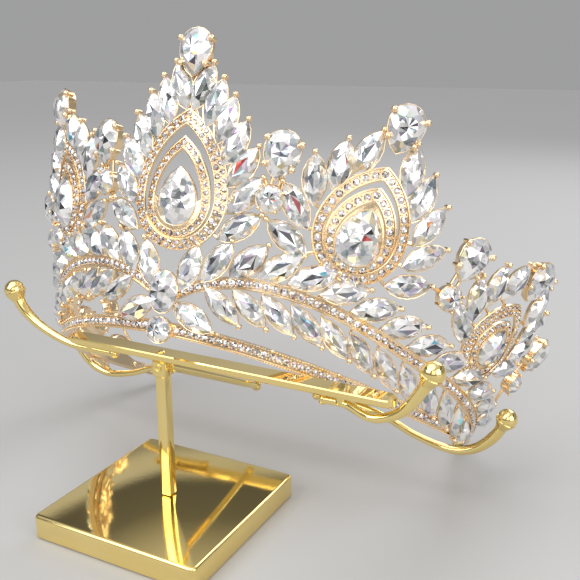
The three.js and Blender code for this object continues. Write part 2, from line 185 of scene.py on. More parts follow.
def addNode(tree, kind, x, y, values=None, **settings):
    node = tree.nodes.new("ShaderNode" + kind)
    node.location = (x, y)
    for name, value in settings.items():
        setattr(node, name, value)
    setInputs(node, values or {})
    return node


def addRange(tree, x, y, spanIn, spanOut):
    names = ("From Min", "From Max", "To Min", "To Max")
    return addNode(tree, "MapRange", x, y, dict(zip(names, (*spanIn, *spanOut))))


def join(tree, *wires):
    # Each wire is a node, its output, the next node and its input.
    for source, output, target, entry in wires:
        tree.links.new(source.outputs[output], target.inputs[entry])


def newGroup(name, inputs, outputs):
    group = bpy.data.node_groups.new(name, "ShaderNodeTree")
    for way, sockets in (("INPUT", inputs), ("OUTPUT", outputs)):
        for socket, kind in sockets.items():
            group.interface.new_socket(socket, in_out=way, socket_type="NodeSocket" + kind)
    return group, group.nodes.new("NodeGroupInput"), group.nodes.new("NodeGroupOutput")


polish = {
    "smearDetail": 5, "smearSpan": (0.3, 0.7), "grainDetail": 3, "grainFiner": 14, "grainDepth": 0.0002,
}


def makeHandPolish():
    # Soft smears and fine scratches of polished plating.
    group, start, end = newGroup("handPolish", {"Scale": "Float", "Bump": "Float"},
                                 {"Mask": "Float", "Normal": "Vector"})
    place = addNode(group, "TexCoord", -900, 0)
    smear = addNode(group, "TexNoise", -600, 200, {"Detail": polish["smearDetail"]})
    grain = addNode(group, "TexNoise", -600, -200, {"Detail": polish["grainDetail"]})
    finer = addNode(group, "Math", -780, -200, {1: polish["grainFiner"]}, operation="MULTIPLY")
    bump = addNode(group, "Bump", -200, -200, {"Distance": polish["grainDepth"]})
    join(group,
         (start, "Scale", smear, "Scale"), (place, "Object", smear, "Vector"), (smear, "Fac", end, "Mask"),
         (start, "Scale", finer, 0), (finer, 0, grain, "Scale"), (place, "Object", grain, "Vector"),
         (grain, "Fac", bump, "Height"), (start, "Bump", bump, "Strength"), (bump, "Normal", end, "Normal"))
    return group


def makeBackFacetReflections():
    # Painted reflections: the broken mosaic of light and dark that the back facets of a foiled stone make,
    # seen through its front, painted as darker cells with a painted fire colour; the same cells also tilt
    # the normal.
    group, start, end = newGroup("backFacetReflections", {"Scale": "Float", "Tilt": "Float"},
                                 {"PaintedMosaicShade": "Float", "PaintedFire": "Color", "Normal": "Vector"})
    place = addNode(group, "TexCoord", -1100, 0)
    cells = addNode(group, "TexVoronoi", -900, 0, feature="F1")
    split = addNode(group, "SeparateColor", -650, 100)
    centred, scaled, both, withNormal, unit = (
        addNode(group, "VectorMath", x, -200, operation=operation) for x, operation in (
            (-650, "SUBTRACT"), (-450, "SCALE"), (-250, "ADD"), (-50, "ADD"), (150, "NORMALIZE")))
    setInputs(centred, {1: (0.5, 0.5, 0.5)})
    tilt = addNode(group, "Attribute", -650, -350, attribute_name="facetTilt")
    surface = addNode(group, "NewGeometry", -650, -550)
    join(group,
         (start, "Scale", cells, "Scale"), (place, "Object", cells, "Vector"),
         (cells, "Color", split, "Color"), (split, "Red", end, "PaintedMosaicShade"), (cells, "Color", end, "PaintedFire"),
         (cells, "Color", centred, 0), (centred, 0, scaled, 0), (start, "Tilt", scaled, "Scale"),
         (scaled, 0, both, 0), (tilt, "Vector", both, 1), (both, 0, withNormal, 0),
         (surface, "Normal", withNormal, 1), (withNormal, 0, unit, 0), (unit, 0, end, "Normal"))
    return group


handPolish = makeHandPolish()
backFacetReflections = makeBackFacetReflections()
glassCoat = {"Coat Weight": 1.0, "Coat Roughness": 0.02, "Coat IOR": 1.55}


def newMaterial(name, group, values):
    material = bpy.data.materials.new(name)
    material.use_nodes = True
    tree = material.node_tree
    effect = addNode(tree, "Group", -700, 0, values, node_tree=group)
    return material, tree, tree.nodes["Principled BSDF"], effect


def makeGold(name, finish):
    # Polished plating: two close tints, roughness that follows the smears, fine grain in the gloss.
    values = {"Scale": finish["smear"], "Bump": finish["bump"]}
    material, tree, shader, smears = newMaterial(name, handPolish, values)
    tints = {"A": (*finish["light"], 1), "B": (*finish["deep"], 1)}
    tint = addNode(tree, "Mix", -300, 200, tints, data_type="RGBA")
    rough = addRange(tree, -300, -100, polish["smearSpan"], finish["gloss"])
    join(tree,
         (smears, "Mask", tint, "Factor"), (tint, "Result", shader, "Base Color"),
         (smears, "Mask", rough, "Value"), (rough, "Result", shader, "Roughness"),
         (smears, "Normal", shader, "Normal"))
    setInputs(shader, {"Metallic": 1.0})
    return material


def makeCrystal(name, finish):
    # Foiled glass: each facet has its own painted reflection tint and a tilt, broken again by the painted
    # reflections of the back facets; the coat and the foil give real gloss on top.
    values = {"Scale": finish["shards"], "Tilt": finish["tilt"]}
    material, tree, shader, shards = newMaterial(name, backFacetReflections, values)
    tint = addNode(tree, "Attribute", -700, 300, attribute_name="paintedFacetReflection")
    # Painted reflection shade: a share of the mosaic cells is darkened.
    mosaicShade = addRange(tree, -450, 100, (0.0, finish["darkShare"]), (finish["darkest"], 1.0))
    broken = addNode(tree, "Mix", -200, 250, {"Factor": 1.0}, data_type="RGBA",
                     blend_type="MULTIPLY")
    # Painted fire: the shard cells' colours are mixed softly over the painted facet tints.
    withPaintedFire = addNode(tree, "Mix", -450, 350, {"Factor": finish["paintedFire"]}, data_type="RGBA",
                   blend_type="SOFT_LIGHT")
    join(tree,
         (tint, "Color", withPaintedFire, "A"), (shards, "PaintedFire", withPaintedFire, "B"), (shards, "PaintedMosaicShade", mosaicShade, "Value"),
         (withPaintedFire, "Result", broken, "A"), (mosaicShade, "Result", broken, "B"),
         (broken, "Result", shader, "Base Color"), (shards, "Normal", shader, "Normal"))
    setInputs(shader, {"Metallic": finish["foil"], "Roughness": finish["rough"], **glassCoat})
    return material


golds = {
    "crownGold": {"light": (1.0, 0.84, 0.59), "deep": (0.92, 0.63, 0.33), "smear": 90, "bump": 0.1,
                  "gloss": (0.12, 0.24)},
    "standGold": {"light": (0.97, 0.81, 0.39), "deep": (0.90, 0.67, 0.22), "smear": 34, "bump": 0.03,
                  "gloss": (0.04, 0.1)},
}
crystals = {  # shards to the metre, their tilt, the share of shards painted darker as reflections and how far, strength of the painted fire colour, foil, gloss
    "crystal": {"shards": 480, "tilt": 0.24, "darkShare": 0.4, "darkest": 0.45, "paintedFire": 0.25, "foil": 0.6,
                "rough": 0.06},
    "paveCrystal": {"shards": 1400, "tilt": 0.3, "darkShare": 0.3, "darkest": 0.5, "paintedFire": 0.3, "foil": 0.6,
                    "rough": 0.08},
}
crownGold, standGold = [makeGold(name, finish) for name, finish in golds.items()]
crystal, paveCrystal = [makeCrystal(name, finish) for name, finish in crystals.items()]
print("materials made")


# Outlines, anticlockwise lists of (x, y)

def flipped(outline):
    return [(-x, -y) for x, y in outline]


def arcRadius(halfWidth, reach):
    # Of a side that starts upright and meets the middle line at a distance.
    return (reach ** 2 + halfWidth ** 2) / (2 * halfWidth)


def marquiseOutline(halfWidth, halfLength, count):
    # Two arcs that meet in points; the first point is the lower end.
    radius, half = arcRadius(halfWidth, halfLength), count // 2
    angles = [asin(halfLength / radius) * (2 * i / half - 1) for i in range(half)]
    right = [(radius * cos(a) - radius + halfWidth, radius * sin(a)) for a in angles]
    return right + flipped(right)


def dropOutline(halfWidth, bottom, point, count):
    # A half circle below and two arcs that meet in the first point, on top.
    middle = bottom + halfWidth
    radius = arcRadius(halfWidth, point - middle)
    sweep = asin((point - middle) / radius)
    beside = round(count / 4)
    below = count - 2 * beside
    left = [(radius - halfWidth - radius * cos(a), middle + radius * sin(a))
            for a in (sweep * (1 - i / beside) for i in range(beside))]
    under = [(halfWidth * cos(a), middle + halfWidth * sin(a))
             for a in (pi * (1 + i / below) for i in range(below + 1))]
    right = [(-x, y) for x, y in reversed(left[1:])]
    return left + under + right


def ovalOutline(halfWidth, halfLength, count):
    return [(halfWidth * cos(a), halfLength * sin(a)) for a in fullTurn(count)]


def grown(outline, by):
    # The outline moved outwards by a distance.
    moved = []
    for i, (x, y) in enumerate(outline):
        before, after = outline[i - 1], outline[(i + 1) % len(outline)]
        dx, dy = after[0] - before[0], after[1] - before[1]
        length = hypot(dx, dy) or 1
        moved.append((x + dy / length * by, y - dx / length * by))
    return moved


def mixed(a, b, part):
    return (a[0] + (b[0] - a[0]) * part, a[1] + (b[1] - a[1]) * part)


def between(outer, inner, part):
    return [mixed(a, b, part) for a, b in zip(outer, inner)]


# Stones

stoneCuts = {  # outline at the girdle, share of its length in the keel, share of the table, its height
    "leaf": {"outline": marquiseOutline(3.88, 8.1, 12), "keel": 0.45, "table": 0.5, "top": 3.85},
    "slimLeaf": {"outline": marquiseOutline(3.3, 8.1, 12), "keel": 0.45, "table": 0.5, "top": 3.85},
    "drop": {"outline": dropOutline(7.0, -9.45, 9.45, 16), "keel": 0.12, "table": 0.52, "top": 5.95},
    "smallDrop": {"outline": dropOutline(5.5, -7.3, 7.3, 16), "keel": 0.12, "table": 0.52, "top": 5.35},
    "pear": {"outline": flipped(dropOutline(5.75, -7.75, 7.75, 16)), "keel": 0.1, "table": 0.5,
             "top": 5.45},
    "oval": {"outline": ovalOutline(5.2, 7.0, 16), "keel": 0.3, "table": 0.52, "top": 5.35},
    "round": {"outline": ovalOutline(4.3, 4.3, 20), "keel": 0, "table": 0.46, "top": 4.95},
}
facet = {  # how the crown of a stone is cut, and how far its facets lean and turn
    "girdle": 0.3, "back": 0.7, "shoulder": 0.6, "lean": 0.32, "leans": (-0.6, 1), "turn": 0.6,
    "kite": 0.7, "keel": 1.6, "hidden": (0.8, 0.8, 0.8, 1),
}
paintedReflectionTones = {  # painted reflection tones for each part of a stone: share of its facets, darkest and lightest value, tint
    "outside": [(0.66, 0.85, 1.0, (1.0, 0.99, 0.97)), (0.22, 0.6, 0.8, (0.94, 0.97, 1.0)),
                (0.05, 0.3, 0.45, (0.85, 0.92, 1.0)), (0.07, 0.75, 0.95, (1.0, 0.86, 0.62))],
    "inside": [(0.56, 0.82, 1.0, (1.0, 0.99, 0.97)), (0.22, 0.5, 0.72, (0.9, 0.94, 1.0)),
               (0.13, 0.24, 0.42, (0.8, 0.88, 1.0)), (0.09, 0.04, 0.14, (0.85, 0.92, 1.0))],
    "pave": [(0.52, 0.85, 1.0, (1.0, 0.98, 0.97)), (0.3, 0.45, 0.75, (1.0, 0.87, 0.83)),
             (0.18, 0.16, 0.4, (0.9, 0.78, 0.82))],
}
# Painted fire: the share of inside facets painted in the spectral colours that light splits into in cut
# glass, and those colours.
paintedFire = {
    "share": 0.03,
    "tints": [(0.62, 0.1, 0.1), (0.95, 0.45, 0.2), (0.3, 0.75, 0.95), (0.95, 0.75, 0.35), (0.75, 0.5, 0.9)],
}


# Picks a facet's painted reflection: a random light or dark value and tint, and now and then a painted fire
# colour for a facet inside the table.
def pickPaintedReflection(rng, part):
    if part == "inside" and rng.random() < paintedFire["share"]:
        return (*rng.choice(paintedFire["tints"]), 1)
    draw = rng.random()
    for share, low, high, tint in paintedReflectionTones[part]:
        draw -= share
        if draw < 0:
            break
    value = rng.uniform(low, high)
    return (*(value * part for part in tint), 1)


def axesOf(place):
    middle = place(0, 0, 0)
    return (place(1, 0, 0) - middle).normalized(), (place(0, 1, 0) - middle).normalized()


def cutStone(shape, cut, place, rng, cup):
    # A cut stone: hidden back, girdle, kites and stars, and a table split into flat facets painted with the
    # reflections of the back facets.
    outline, table, top = cut["outline"], cut["table"], cut["top"]
    low, girdle = cup["low"], cup["girdle"]
    under, back = girdle - facet["girdle"], facet["back"]
    count = len(outline)
    right, up = axesOf(place)
    reach = max(abs(y) for x, y in outline) * cut["keel"]
    shoulder = girdle + facet["shoulder"] * (top - girdle)
    middle = 0.5 * (1 + table)

    def at(i, factor, z):
        x, y = outline[i % count]
        return place(x * factor, y * factor, z)

    # Every facet gets a painted reflection tone, light or dark, and a tilt.
    def put(points, x, y, part="outside", strength=1.0):
        length = hypot(x, y) or 1
        turn = rng.uniform(-facet["turn"], facet["turn"])
        dx = x / length * cos(turn) - y / length * sin(turn)
        dy = x / length * sin(turn) + y / length * cos(turn)
        tint = pickPaintedReflection(rng, part)
        lean = facet["lean"] * strength
        shape.facet(points, tint, (right * dx + up * dy) * lean * rng.uniform(*facet["leans"]))

    def keelAt(i):
        y = outline[i % count][1]
        return copysign(reach, y) if abs(y) > 1e-6 else 0.0

    for i in range(count):
        x, y = outline[i]
        for lower, upper in (((1, under), (1, girdle)), ((back, low), (1, under))):
            put([at(i, *lower), at(i + 1, *lower), at(i + 1, *upper), at(i, *upper)], x, y)
    shape.facet([at(i, back, low) for i in reversed(range(count))], facet["hidden"], Vector())
    for i in range(0, count, 2):
        x, y = outline[i]
        sx, sy = outline[(i + 1) % count]
        star, before = at(i + 1, middle, shoulder), at(i - 1, middle, shoulder)
        for k in (i, i + 1):
            put([at(k, 1, girdle), at(k + 1, 1, girdle), star], sx, sy)
        put([at(i, 1, girdle), star, at(i, table, top), before], x, y, "outside", facet["kite"])
        put([at(i, table, top), star, at(i + 2, table, top)], sx, sy, "inside", facet["kite"])
        a, b = outline[i], outline[(i + 2) % count]
        edge = place((a[0] + b[0]) / 2 * table, (a[1] + b[1]) / 2 * table, top)
        ends = keelAt(i), keelAt(i + 2)
        knots = [place(0, end, top - 0.05) for end in ends]
        put([at(i, table, top), edge, knots[0]], -sx, -sy, "inside", facet["keel"])
        put([edge, at(i + 2, table, top), knots[1]], sx, sy, "inside", facet["keel"])
        if abs(ends[0] - ends[1]) > 1e-6:
            put([edge, knots[1], knots[0]], sx, sy, "inside")


cups = {  # a stone's lowest point, its girdle, and the wall, back, seat and lip of its cup
    "leaf": {"low": 0.1, "girdle": 1.55, "wall": 0.3, "back": -0.6, "seat": 0.9, "lip": 1.45},
    "main": {"low": 1.65, "girdle": 2.8, "wall": 0.32, "back": -1.3, "seat": 1.6, "lip": 2.55},
}
cupBack = [(0.4, 0.45), (0.46, 0.1), (0.5, 0), (0.66, 0), (0.9, 0.5)]  # share of the outline, height
claws = {  # foot and top off the wall, how far it stands out from the stone, and its bead
    "leaf": {"foot": 0, "top": 2.0, "out": 0.55, "radius": 0.95},
    "pear": {"foot": 0.2, "top": 3.2, "out": 0.35, "radius": 1.1},
    "round": {"foot": 0.2, "top": 3.2, "out": 0.35, "radius": 0.62},
}


def addSetting(shape, outline, place, cup):
    # The closed cup of a stone: a back with a shallow recess, a wall and a thin rim.
    wall, back, seat, lip = (cup[key] for key in ("wall", "back", "seat", "lip"))
    ring = [([(x * share, y * share) for x, y in outline], back + height) for share, height in cupBack]
    ring += [(grown(outline, by), z) for by, z in (
        (wall * 0.6, seat), (wall, lip - 0.15), (wall * 0.7, lip), (-0.05, lip - 0.04), (-0.3, seat))]
    shape.loft([[place(x, y, z) for x, y in loop] for loop, z in ring])


def addClaw(shape, place, u, v, claw):
    # A claw that stands beside the stone and ends in a bead over its edge.
    length = hypot(u, v)
    across, along = u / length, v / length
    foot, top, out, radius = (claw[key] for key in ("foot", "top", "out", "radius"))

    def beside(by, z):
        return place(u + across * by, v + along * by, z)

    path = [beside(out - 0.1, foot), beside(out, (foot + top) / 2), beside(out * 0.6, top)]
    shape.rod(path, radius * 0.62, 7)
    shape.ball(beside(out * 0.6, top + radius * 0.1), radius, 2)


# Laurel leaves: peaks and branches

peaks = {
    "centre": {"angle": 0.5, "outer": (17.1, 26, 71.8), "stone": "drop", "stoneAt": 43.4, "tipAt": 89.2},
    "middle": {"angle": 35.2, "outer": (15.2, 30.4, 68.9), "stone": "drop", "stoneAt": 45.6, "tipAt": 81},
    "side": {"angle": 74.4, "outer": (13.2, 22.4, 55), "stone": "smallDrop", "stoneAt": 37, "tipAt": 65},
}
peakLeafRows = {  # x from the peak's middle line, y up the wall, direction from straight up
    "centre": [(3.9, 78.6, 21), (8.9, 73.8, 16), (13.4, 68.7, 16), (17.3, 62, 24), (20.8, 54.6, 33),
               (22.4, 45.9, 40), (21.9, 35.8, 56)],
    "middle": [(7.5, 70.4, -12), (14.1, 63.9, 4), (19.6, 56.8, 20), (22, 47, 49), (20.8, 36.8, 70)],
    "side": [(9.9, 59, -8), (16.6, 52.8, 12), (20.1, 45.2, 32), (19, 35.8, 56)],
}
stemHeights = [  # angle, height of the stem above the ring
    (2, 10.6), (9, 15.2), (18.5, 18.7), (32, 19.3), (46, 17.6), (60, 15.9), (78, 15.5), (93, 14.4),
    (108, 11.6),
]
branch = {  # leaves above and below a stem: first angle, turn from straight up, and distance from the stem
    "pitch": 5.7, "growth": 0.13,
    "upper": {"count": 14, "start": 5, "turn": 16, "turnStep": 10.5, "lastTurn": 63, "offset": 7.0},
    "lower": {"count": 12, "start": 13.7, "turn": 124, "offset": -7.6},
    "front": {"x": 7.6, "y": 5.6, "turn": 113, "root": (-8.4, 9.4)},
}
leaf = {"tip": 8.1, "tilt": 5, "rootInside": 0.9, "rootRadius": 0.62, "rootHeight": 0.2}
bothSides = ((-1, "_left"), (1, "_right"))


def allPeaks():
    for name, peak in peaks.items():
        for side, ending in ((1, ""),) if name == "centre" else bothSides:
            yield name, ending, {**peak, "angle": side * peak["angle"]}


def fourRound(points, i):
    # A point, the one before it and the two after it, as far as there are any.
    return [points[max(0, min(len(points) - 1, i + d))] for d in (-1, 0, 1, 2)]


def stemOnWall(angle):
    # How far up the wall the stem runs, a smooth curve through the heights above.
    angle = min(max(abs(angle), stemHeights[0][0]), stemHeights[-1][0])
    rows = fourRound(stemHeights, max(i for i, row in enumerate(stemHeights[:-1]) if row[0] <= angle))
    gap = rows[2][0] - rows[1][0]
    t = (angle - rows[1][0]) / gap
    slopes = [(rows[j + 1][1] - rows[j - 1][1]) / (rows[j + 1][0] - rows[j - 1][0]) * gap for j in (1, 2)]
    height = ((2 * t ** 3 - 3 * t ** 2 + 1) * rows[1][1] + (t ** 3 - 2 * t ** 2 + t) * slopes[0]
              + (3 * t ** 2 - 2 * t ** 3) * rows[2][1] + (t ** 3 - t ** 2) * slopes[1])
    return height / rise


def bandOnWall(angle):
    return crown["bandRise"] * (1 - cos(radians(angle))) ** 2 / rise


def towardsRim(outer, x, y):
    # The place just inside a peak's outer rim that is nearest to a point of the wall.
    halfWidth, bottom, point = outer
    middle = bottom + halfWidth
    if y < middle:
        factor = (halfWidth - leaf["rootInside"]) / hypot(x, middle - y)
        return x * factor, middle - (middle - y) * factor
    y = min(y, point - 2)
    radius = arcRadius(halfWidth, point - middle)
    inside = sqrt(radius ** 2 - (y - middle) ** 2) - radius + halfWidth - leaf["rootInside"]
    return copysign(inside, x), y


def leafPlaces():
    # Cut, angle, x, y and turn of every leaf, and x and y of its root's foot from the same angle.
    def baseOf(x, y, turn):
        return (x - leaf["tip"] * sin(radians(turn)), y - leaf["tip"] * cos(radians(turn)))

    for name, ending, peak in allPeaks():
        for x, y, turn in peakLeafRows[name]:
            for side in (-1, 1):
                root = towardsRim(peak["outer"], *baseOf(side * x, y, side * turn))
                yield "leaf", peak["angle"], side * x, y, side * turn, root
    front = branch["front"]
    for side in (-1, 1):
        root = (side * front["root"][0], front["root"][1])
        yield "leaf", side * front["x"], 0, front["y"], side * front["turn"], root
        for cutName, row in (("leaf", branch["upper"]), ("slimLeaf", branch["lower"])):
            for i in range(row["count"]):
                angle = row["start"] + branch["pitch"] * i + branch["growth"] * i * i
                turn = side * min(row["turn"] + row.get("turnStep", 0) * i, row.get("lastTurn", 180))
                y = stemOnWall(angle) + row["offset"]
                x = baseOf(0, y, turn)[0]
                root = (x, stemOnWall(side * angle + degrees(x / crown["ringRadius"])))
                yield cutName, side * angle, 0, y, turn, root


leafTips = []  # filled by makeLeaves, for the link wires


def makeLeaves():
    stones, settings, tipClaws = Shape(), Shape(), Shape()
    rng = random.Random(11)
    for cutName, angle, x, y, turn, root in leafPlaces():
        cut = stoneCuts[cutName]
        place = onSpot(angle, x, y, turn, 0, rng.uniform(-leaf["tilt"], leaf["tilt"]))
        cutStone(stones, cut, place, rng, cups["leaf"])
        addSetting(settings, cut["outline"], place, cups["leaf"])
        addClaw(tipClaws, place, 0, leaf["tip"], claws["leaf"])
        foot = onWall(angle, root[0], root[1], leaf["rootHeight"])
        settings.rod([place(0, 0.75 - leaf["tip"], 0.5), foot], leaf["rootRadius"], 7)
        leafTips.append(place(0, leaf["tip"] + 0.3, 0.6))
    makePiece("leaf_stones", stones, crystal)
    makePiece("leaf_settings", settings, crownGold)
    makePiece("leaf_claws", tipClaws, crownGold)


# Rims, band and stems with their rows of small stones

pave = {  # shares of the radius and heights of the three rings of a small stone, its table and its grains
    "sides": 8, "rings": ((0.6, -0.3), (1, 0.2), (0.55, 0.62)), "table": 0.6, "lean": (-0.3, 0.4),
    "tableLean": 1.4, "hidden": (0.7, 0.7, 0.7, 1), "beadAt": 0.78, "beadHeight": 0.3,
}
paveDraws = random.Random(5)


def addPaveStone(stones, beads, place, radius, pitch, bead):
    # A small round stone whose facets get painted reflection tones, and two grains of metal between it and
    # the next one.
    count = pave["sides"]
    outline = ovalOutline(radius, radius, count)
    right, up = axesOf(place)
    middle = place(0, 0, pave["table"])
    low, girdle, top = (
        [place(x * factor, y * factor, z) for x, y in outline] for factor, z in pave["rings"])
    for i, (x, y) in enumerate(outline):
        j = (i + 1) % count
        tilt = (right * x + up * y) / radius * paveDraws.uniform(*pave["lean"])
        stones.facet([low[i], low[j], girdle[j], girdle[i]], pickPaintedReflection(paveDraws, "pave"), tilt)
        stones.facet([girdle[i], girdle[j], top[j], top[i]], pickPaintedReflection(paveDraws, "pave"), tilt)
        stones.facet([top[i], top[j], middle], pickPaintedReflection(paveDraws, "pave"), tilt * pave["tableLean"])
    stones.facet(list(reversed(low)), pave["hidden"], Vector())
    for side in (-1, 1):
        beads.ball(place(side * radius * pave["beadAt"], pitch / 2, pave["beadHeight"]), bead, 2)


def channelSection(width, back, floor, lip, edge):
    # A strip with two raised edges: distances across it and heights.
    half = width / 2
    right = [(half - 0.2, back), (half, back + 0.2), (half, lip - 0.12), (half - 0.12, lip),
             (half - edge + 0.1, lip), (half - edge, lip - 0.1), (half - edge, floor)]
    left = [(-x, z) for x, z in reversed(right)]
    return left[-1:] + right + left[:-1]


arcRows = {  # channels that follow the ring; grains is the spacing of a grained edge
    "band": {"width": 4.4, "back": -1.2, "floor": 0.55, "lip": 1.1, "edge": 0.5, "pitch": 2.5,
             "radius": 1.2, "bead": 0.3, "grains": 0.95, "grainRadius": 0.27, "grainInside": 0.28},
    "stem": {"width": 4.2, "back": -1.1, "floor": 0.95, "lip": 1.55, "edge": 0.5, "pitch": 2.85,
             "radius": 1.28, "bead": 0.3, "grains": 0},
}
bandLift = 0.35


def evenly(lengths, first, step):
    # For points at even distances along a line: which stretch each is on, and what part of it is past.
    travelled, wanted = 0.0, first
    for i, length in enumerate(lengths):
        while wanted <= travelled + length:
            yield i, (wanted - travelled) / length
            wanted += step
        travelled += length


def makeArcRow(row, ends, steps, heightAt, metal, stones, beads):
    # A set channel that follows the ring from one angle to another.
    section = channelSection(*(row[key] for key in ("width", "back", "floor", "lip", "edge")))
    angles = [ends[0] + (ends[1] - ends[0]) * i / steps for i in range(steps + 1)]
    metal.loft([[onWall(angle, 0, heightAt(angle) + a, z) for a, z in section] for angle in angles])
    middle = [onWall(angle, 0, heightAt(angle), row["floor"]) for angle in angles]
    lengths = [(after - before).length for before, after in zip(middle, middle[1:])]
    forward = copysign(1, ends[1] - ends[0])
    for i, part in evenly(lengths, row["pitch"] * 0.6, row["pitch"]):
        angle = angles[i] + (angles[i + 1] - angles[i]) * part
        dy = heightAt(angles[i + 1]) - heightAt(angles[i])
        turn = 90 - degrees(atan2(dy, forward * lengths[i]))
        place = onSpot(angle, 0, heightAt(angle), turn, row["floor"])
        addPaveStone(stones, beads, place, row["radius"], row["pitch"], row["bead"])
    for i, part in evenly(lengths, 0.4, row["grains"]) if row["grains"] else ():
        angle = angles[i] + (angles[i + 1] - angles[i]) * part
        for across in (row["grainInside"] - row["width"] / 2, row["width"] / 2 - row["grainInside"]):
            beads.ball(onWall(angle, 0, heightAt(angle) + across, row["lip"]), row["grainRadius"], 1)


rimShape = {"steps": 96, "edge": 0.42, "sunk": 0.5, "depth": 1.1, "bead": 0.34, "plateDepth": 1.2}


def loftBetween(metal, angle, outer, inner, section, kept):
    # Metal that follows two outlines, closed where all of their points are kept.
    layers = [(between(outer, inner, t), z) for t, z in section]
    metal.loft([[onWall(angle, *layer[i], z) for layer, z in layers] for i in kept],
               closed=len(kept) == len(outer))


def addRim(metal, stones, beads, angle, rim):
    # A set rim between two drop outlines; its floor slopes from the outer edge to the inner.
    count, sunk, depth = rimShape["steps"], rimShape["sunk"], rimShape["depth"]
    outer, inner = (dropOutline(*rim[key], count) for key in ("outer", "inner"))
    width = rim["outer"][0] - rim["inner"][0]
    edge = rimShape["edge"] / width
    zOuter, zInner = rim["z"]
    section = [(edge * 0.3, zOuter - depth), (0, zOuter - depth + 0.15), (0, zOuter - 0.1),
               (edge * 0.3, zOuter), (edge, zOuter), (edge, zOuter - sunk), (1 - edge, zInner - sunk),
               (1 - edge, zInner), (1 - edge * 0.3, zInner), (1, zInner - 0.1), (1, zInner - depth + 0.15),
               (1 - edge * 0.3, zInner - depth)]
    loftBetween(metal, angle, outer, inner, section, range(count))
    tip = degrees(atan2(zInner - zOuter, width))
    for row, t in enumerate(rim["rows"]):
        line = between(outer, inner, t)
        lift = zOuter - sunk + (zInner - zOuter) * (t - edge) / (1 - 2 * edge)
        lengths = [dist(line[i], line[(i + 1) % count]) for i in range(count)]
        step = sum(lengths) / round(sum(lengths) / rim["pitch"])
        for i, part in evenly(lengths, step * (0.5 if row % 2 else 0.02), step):
            p, q = line[i], line[(i + 1) % count]
            place = onSpot(angle, *mixed(p, q, part), degrees(atan2(q[0] - p[0], q[1] - p[1])), lift, tip)
            addPaveStone(stones, beads, place, rim["radius"], step, rimShape["bead"])


def addPlate(metal, angle, outer, inner, below, zOuter, zInner):
    # The closed lower part between two drop outlines, up to a height on the wall.
    depth = rimShape["plateDepth"]
    outer, inner = (dropOutline(*outline, rimShape["steps"]) for outline in (outer, inner))
    kept = [i for i, point in enumerate(outer) if point[1] <= below]
    section = [(-0.1, zOuter - depth), (-0.1, zOuter), (1.1, zInner), (1.1, zInner - depth)]
    loftBetween(metal, angle, outer, inner, section, kept)


rims = {  # outer and inner outline, heights of the edges, rows as shares of the width, and the plate
    # that closes the rim inside: its own inner outline, up to which height, and heights of its edges
    "centre": [
        {"outer": (17.1, 26, 71.8), "inner": (12.9, 29.6, 66.4), "z": (1.4, 2.3), "rows": (0.3, 0.72),
         "pitch": 2.9, "radius": 1.0, "plate": ((11.6, 30, 62.9), 37, 1.6, 1.7)},
        {"outer": (11.6, 30, 62.9), "inner": (8.7, 32.6, 58.4), "z": (2.0, 2.6), "rows": (0.5,),
         "pitch": 2.7, "radius": 1.02, "plate": ((7.2, 33.8, 53), 43, 2.4, 2.45)},
    ],
    "middle": [
        {"outer": (15.2, 30.4, 68.9), "inner": (11.3, 34.2, 64), "z": (1.5, 2.3), "rows": (0.5,),
         "pitch": 3.1, "radius": 1.28, "plate": ((10.6, 34.6, 61.4), 51, 1.2, 1.3)},
        {"outer": (10.9, 34.4, 62.1), "inner": (7.5, 36.2, 57), "z": (2.2, 2.8), "rows": (0.52,),
         "pitch": 3.1, "radius": 1.24, "plate": ((6.9, 36.2, 55.4), 99, 2.4, 2.45)},
    ],
    "side": [
        {"outer": (13.2, 22.4, 55), "inner": (9.5, 26, 50.4), "z": (1.5, 2.3), "rows": (0.3, 0.72),
         "pitch": 2.2, "radius": 0.78, "plate": ((8.9, 26.4, 48.1), 40, 1.2, 1.3)},
        {"outer": (8.9, 26.4, 48.1), "inner": (6.1, 28.8, 45.6), "z": (2.2, 2.7), "rows": (0.5,),
         "pitch": 2.8, "radius": 1.02, "plate": ((5.4, 29.6, 44.4), 99, 2.3, 2.35)},
    ],
}


endLoop = {"past": 1.8, "lift": 2.2, "radius": 3, "wire": 0.9}
nubs = {"angles": (14, 27, 43, 58, 71, 86, 100), "above": 2.3, "off": 0.8, "radius": 0.62}


def addEndLoop(metal, side):
    # The wire loop that closes an end of the band.
    end, radius, wire = crown["bandEnd"], endLoop["radius"], endLoop["wire"]
    centre = onWall(side * (end + endLoop["past"]), 0, bandOnWall(end) + endLoop["lift"], 0.3)
    along = (onWall(side * (end + 3), 0, 0, 0) - onWall(side * end, 0, 0, 0)).normalized()
    up = Vector((0, 0, 1))
    flat = along.cross(up)
    loops = []
    for out in (along * cos(a) + up * sin(a) for a in fullTurn(28)):
        loops.append([centre + out * (radius + wire * cos(b)) + flat * wire * sin(b) for b in fullTurn(10)])
    metal.loft(loops, closed=True)


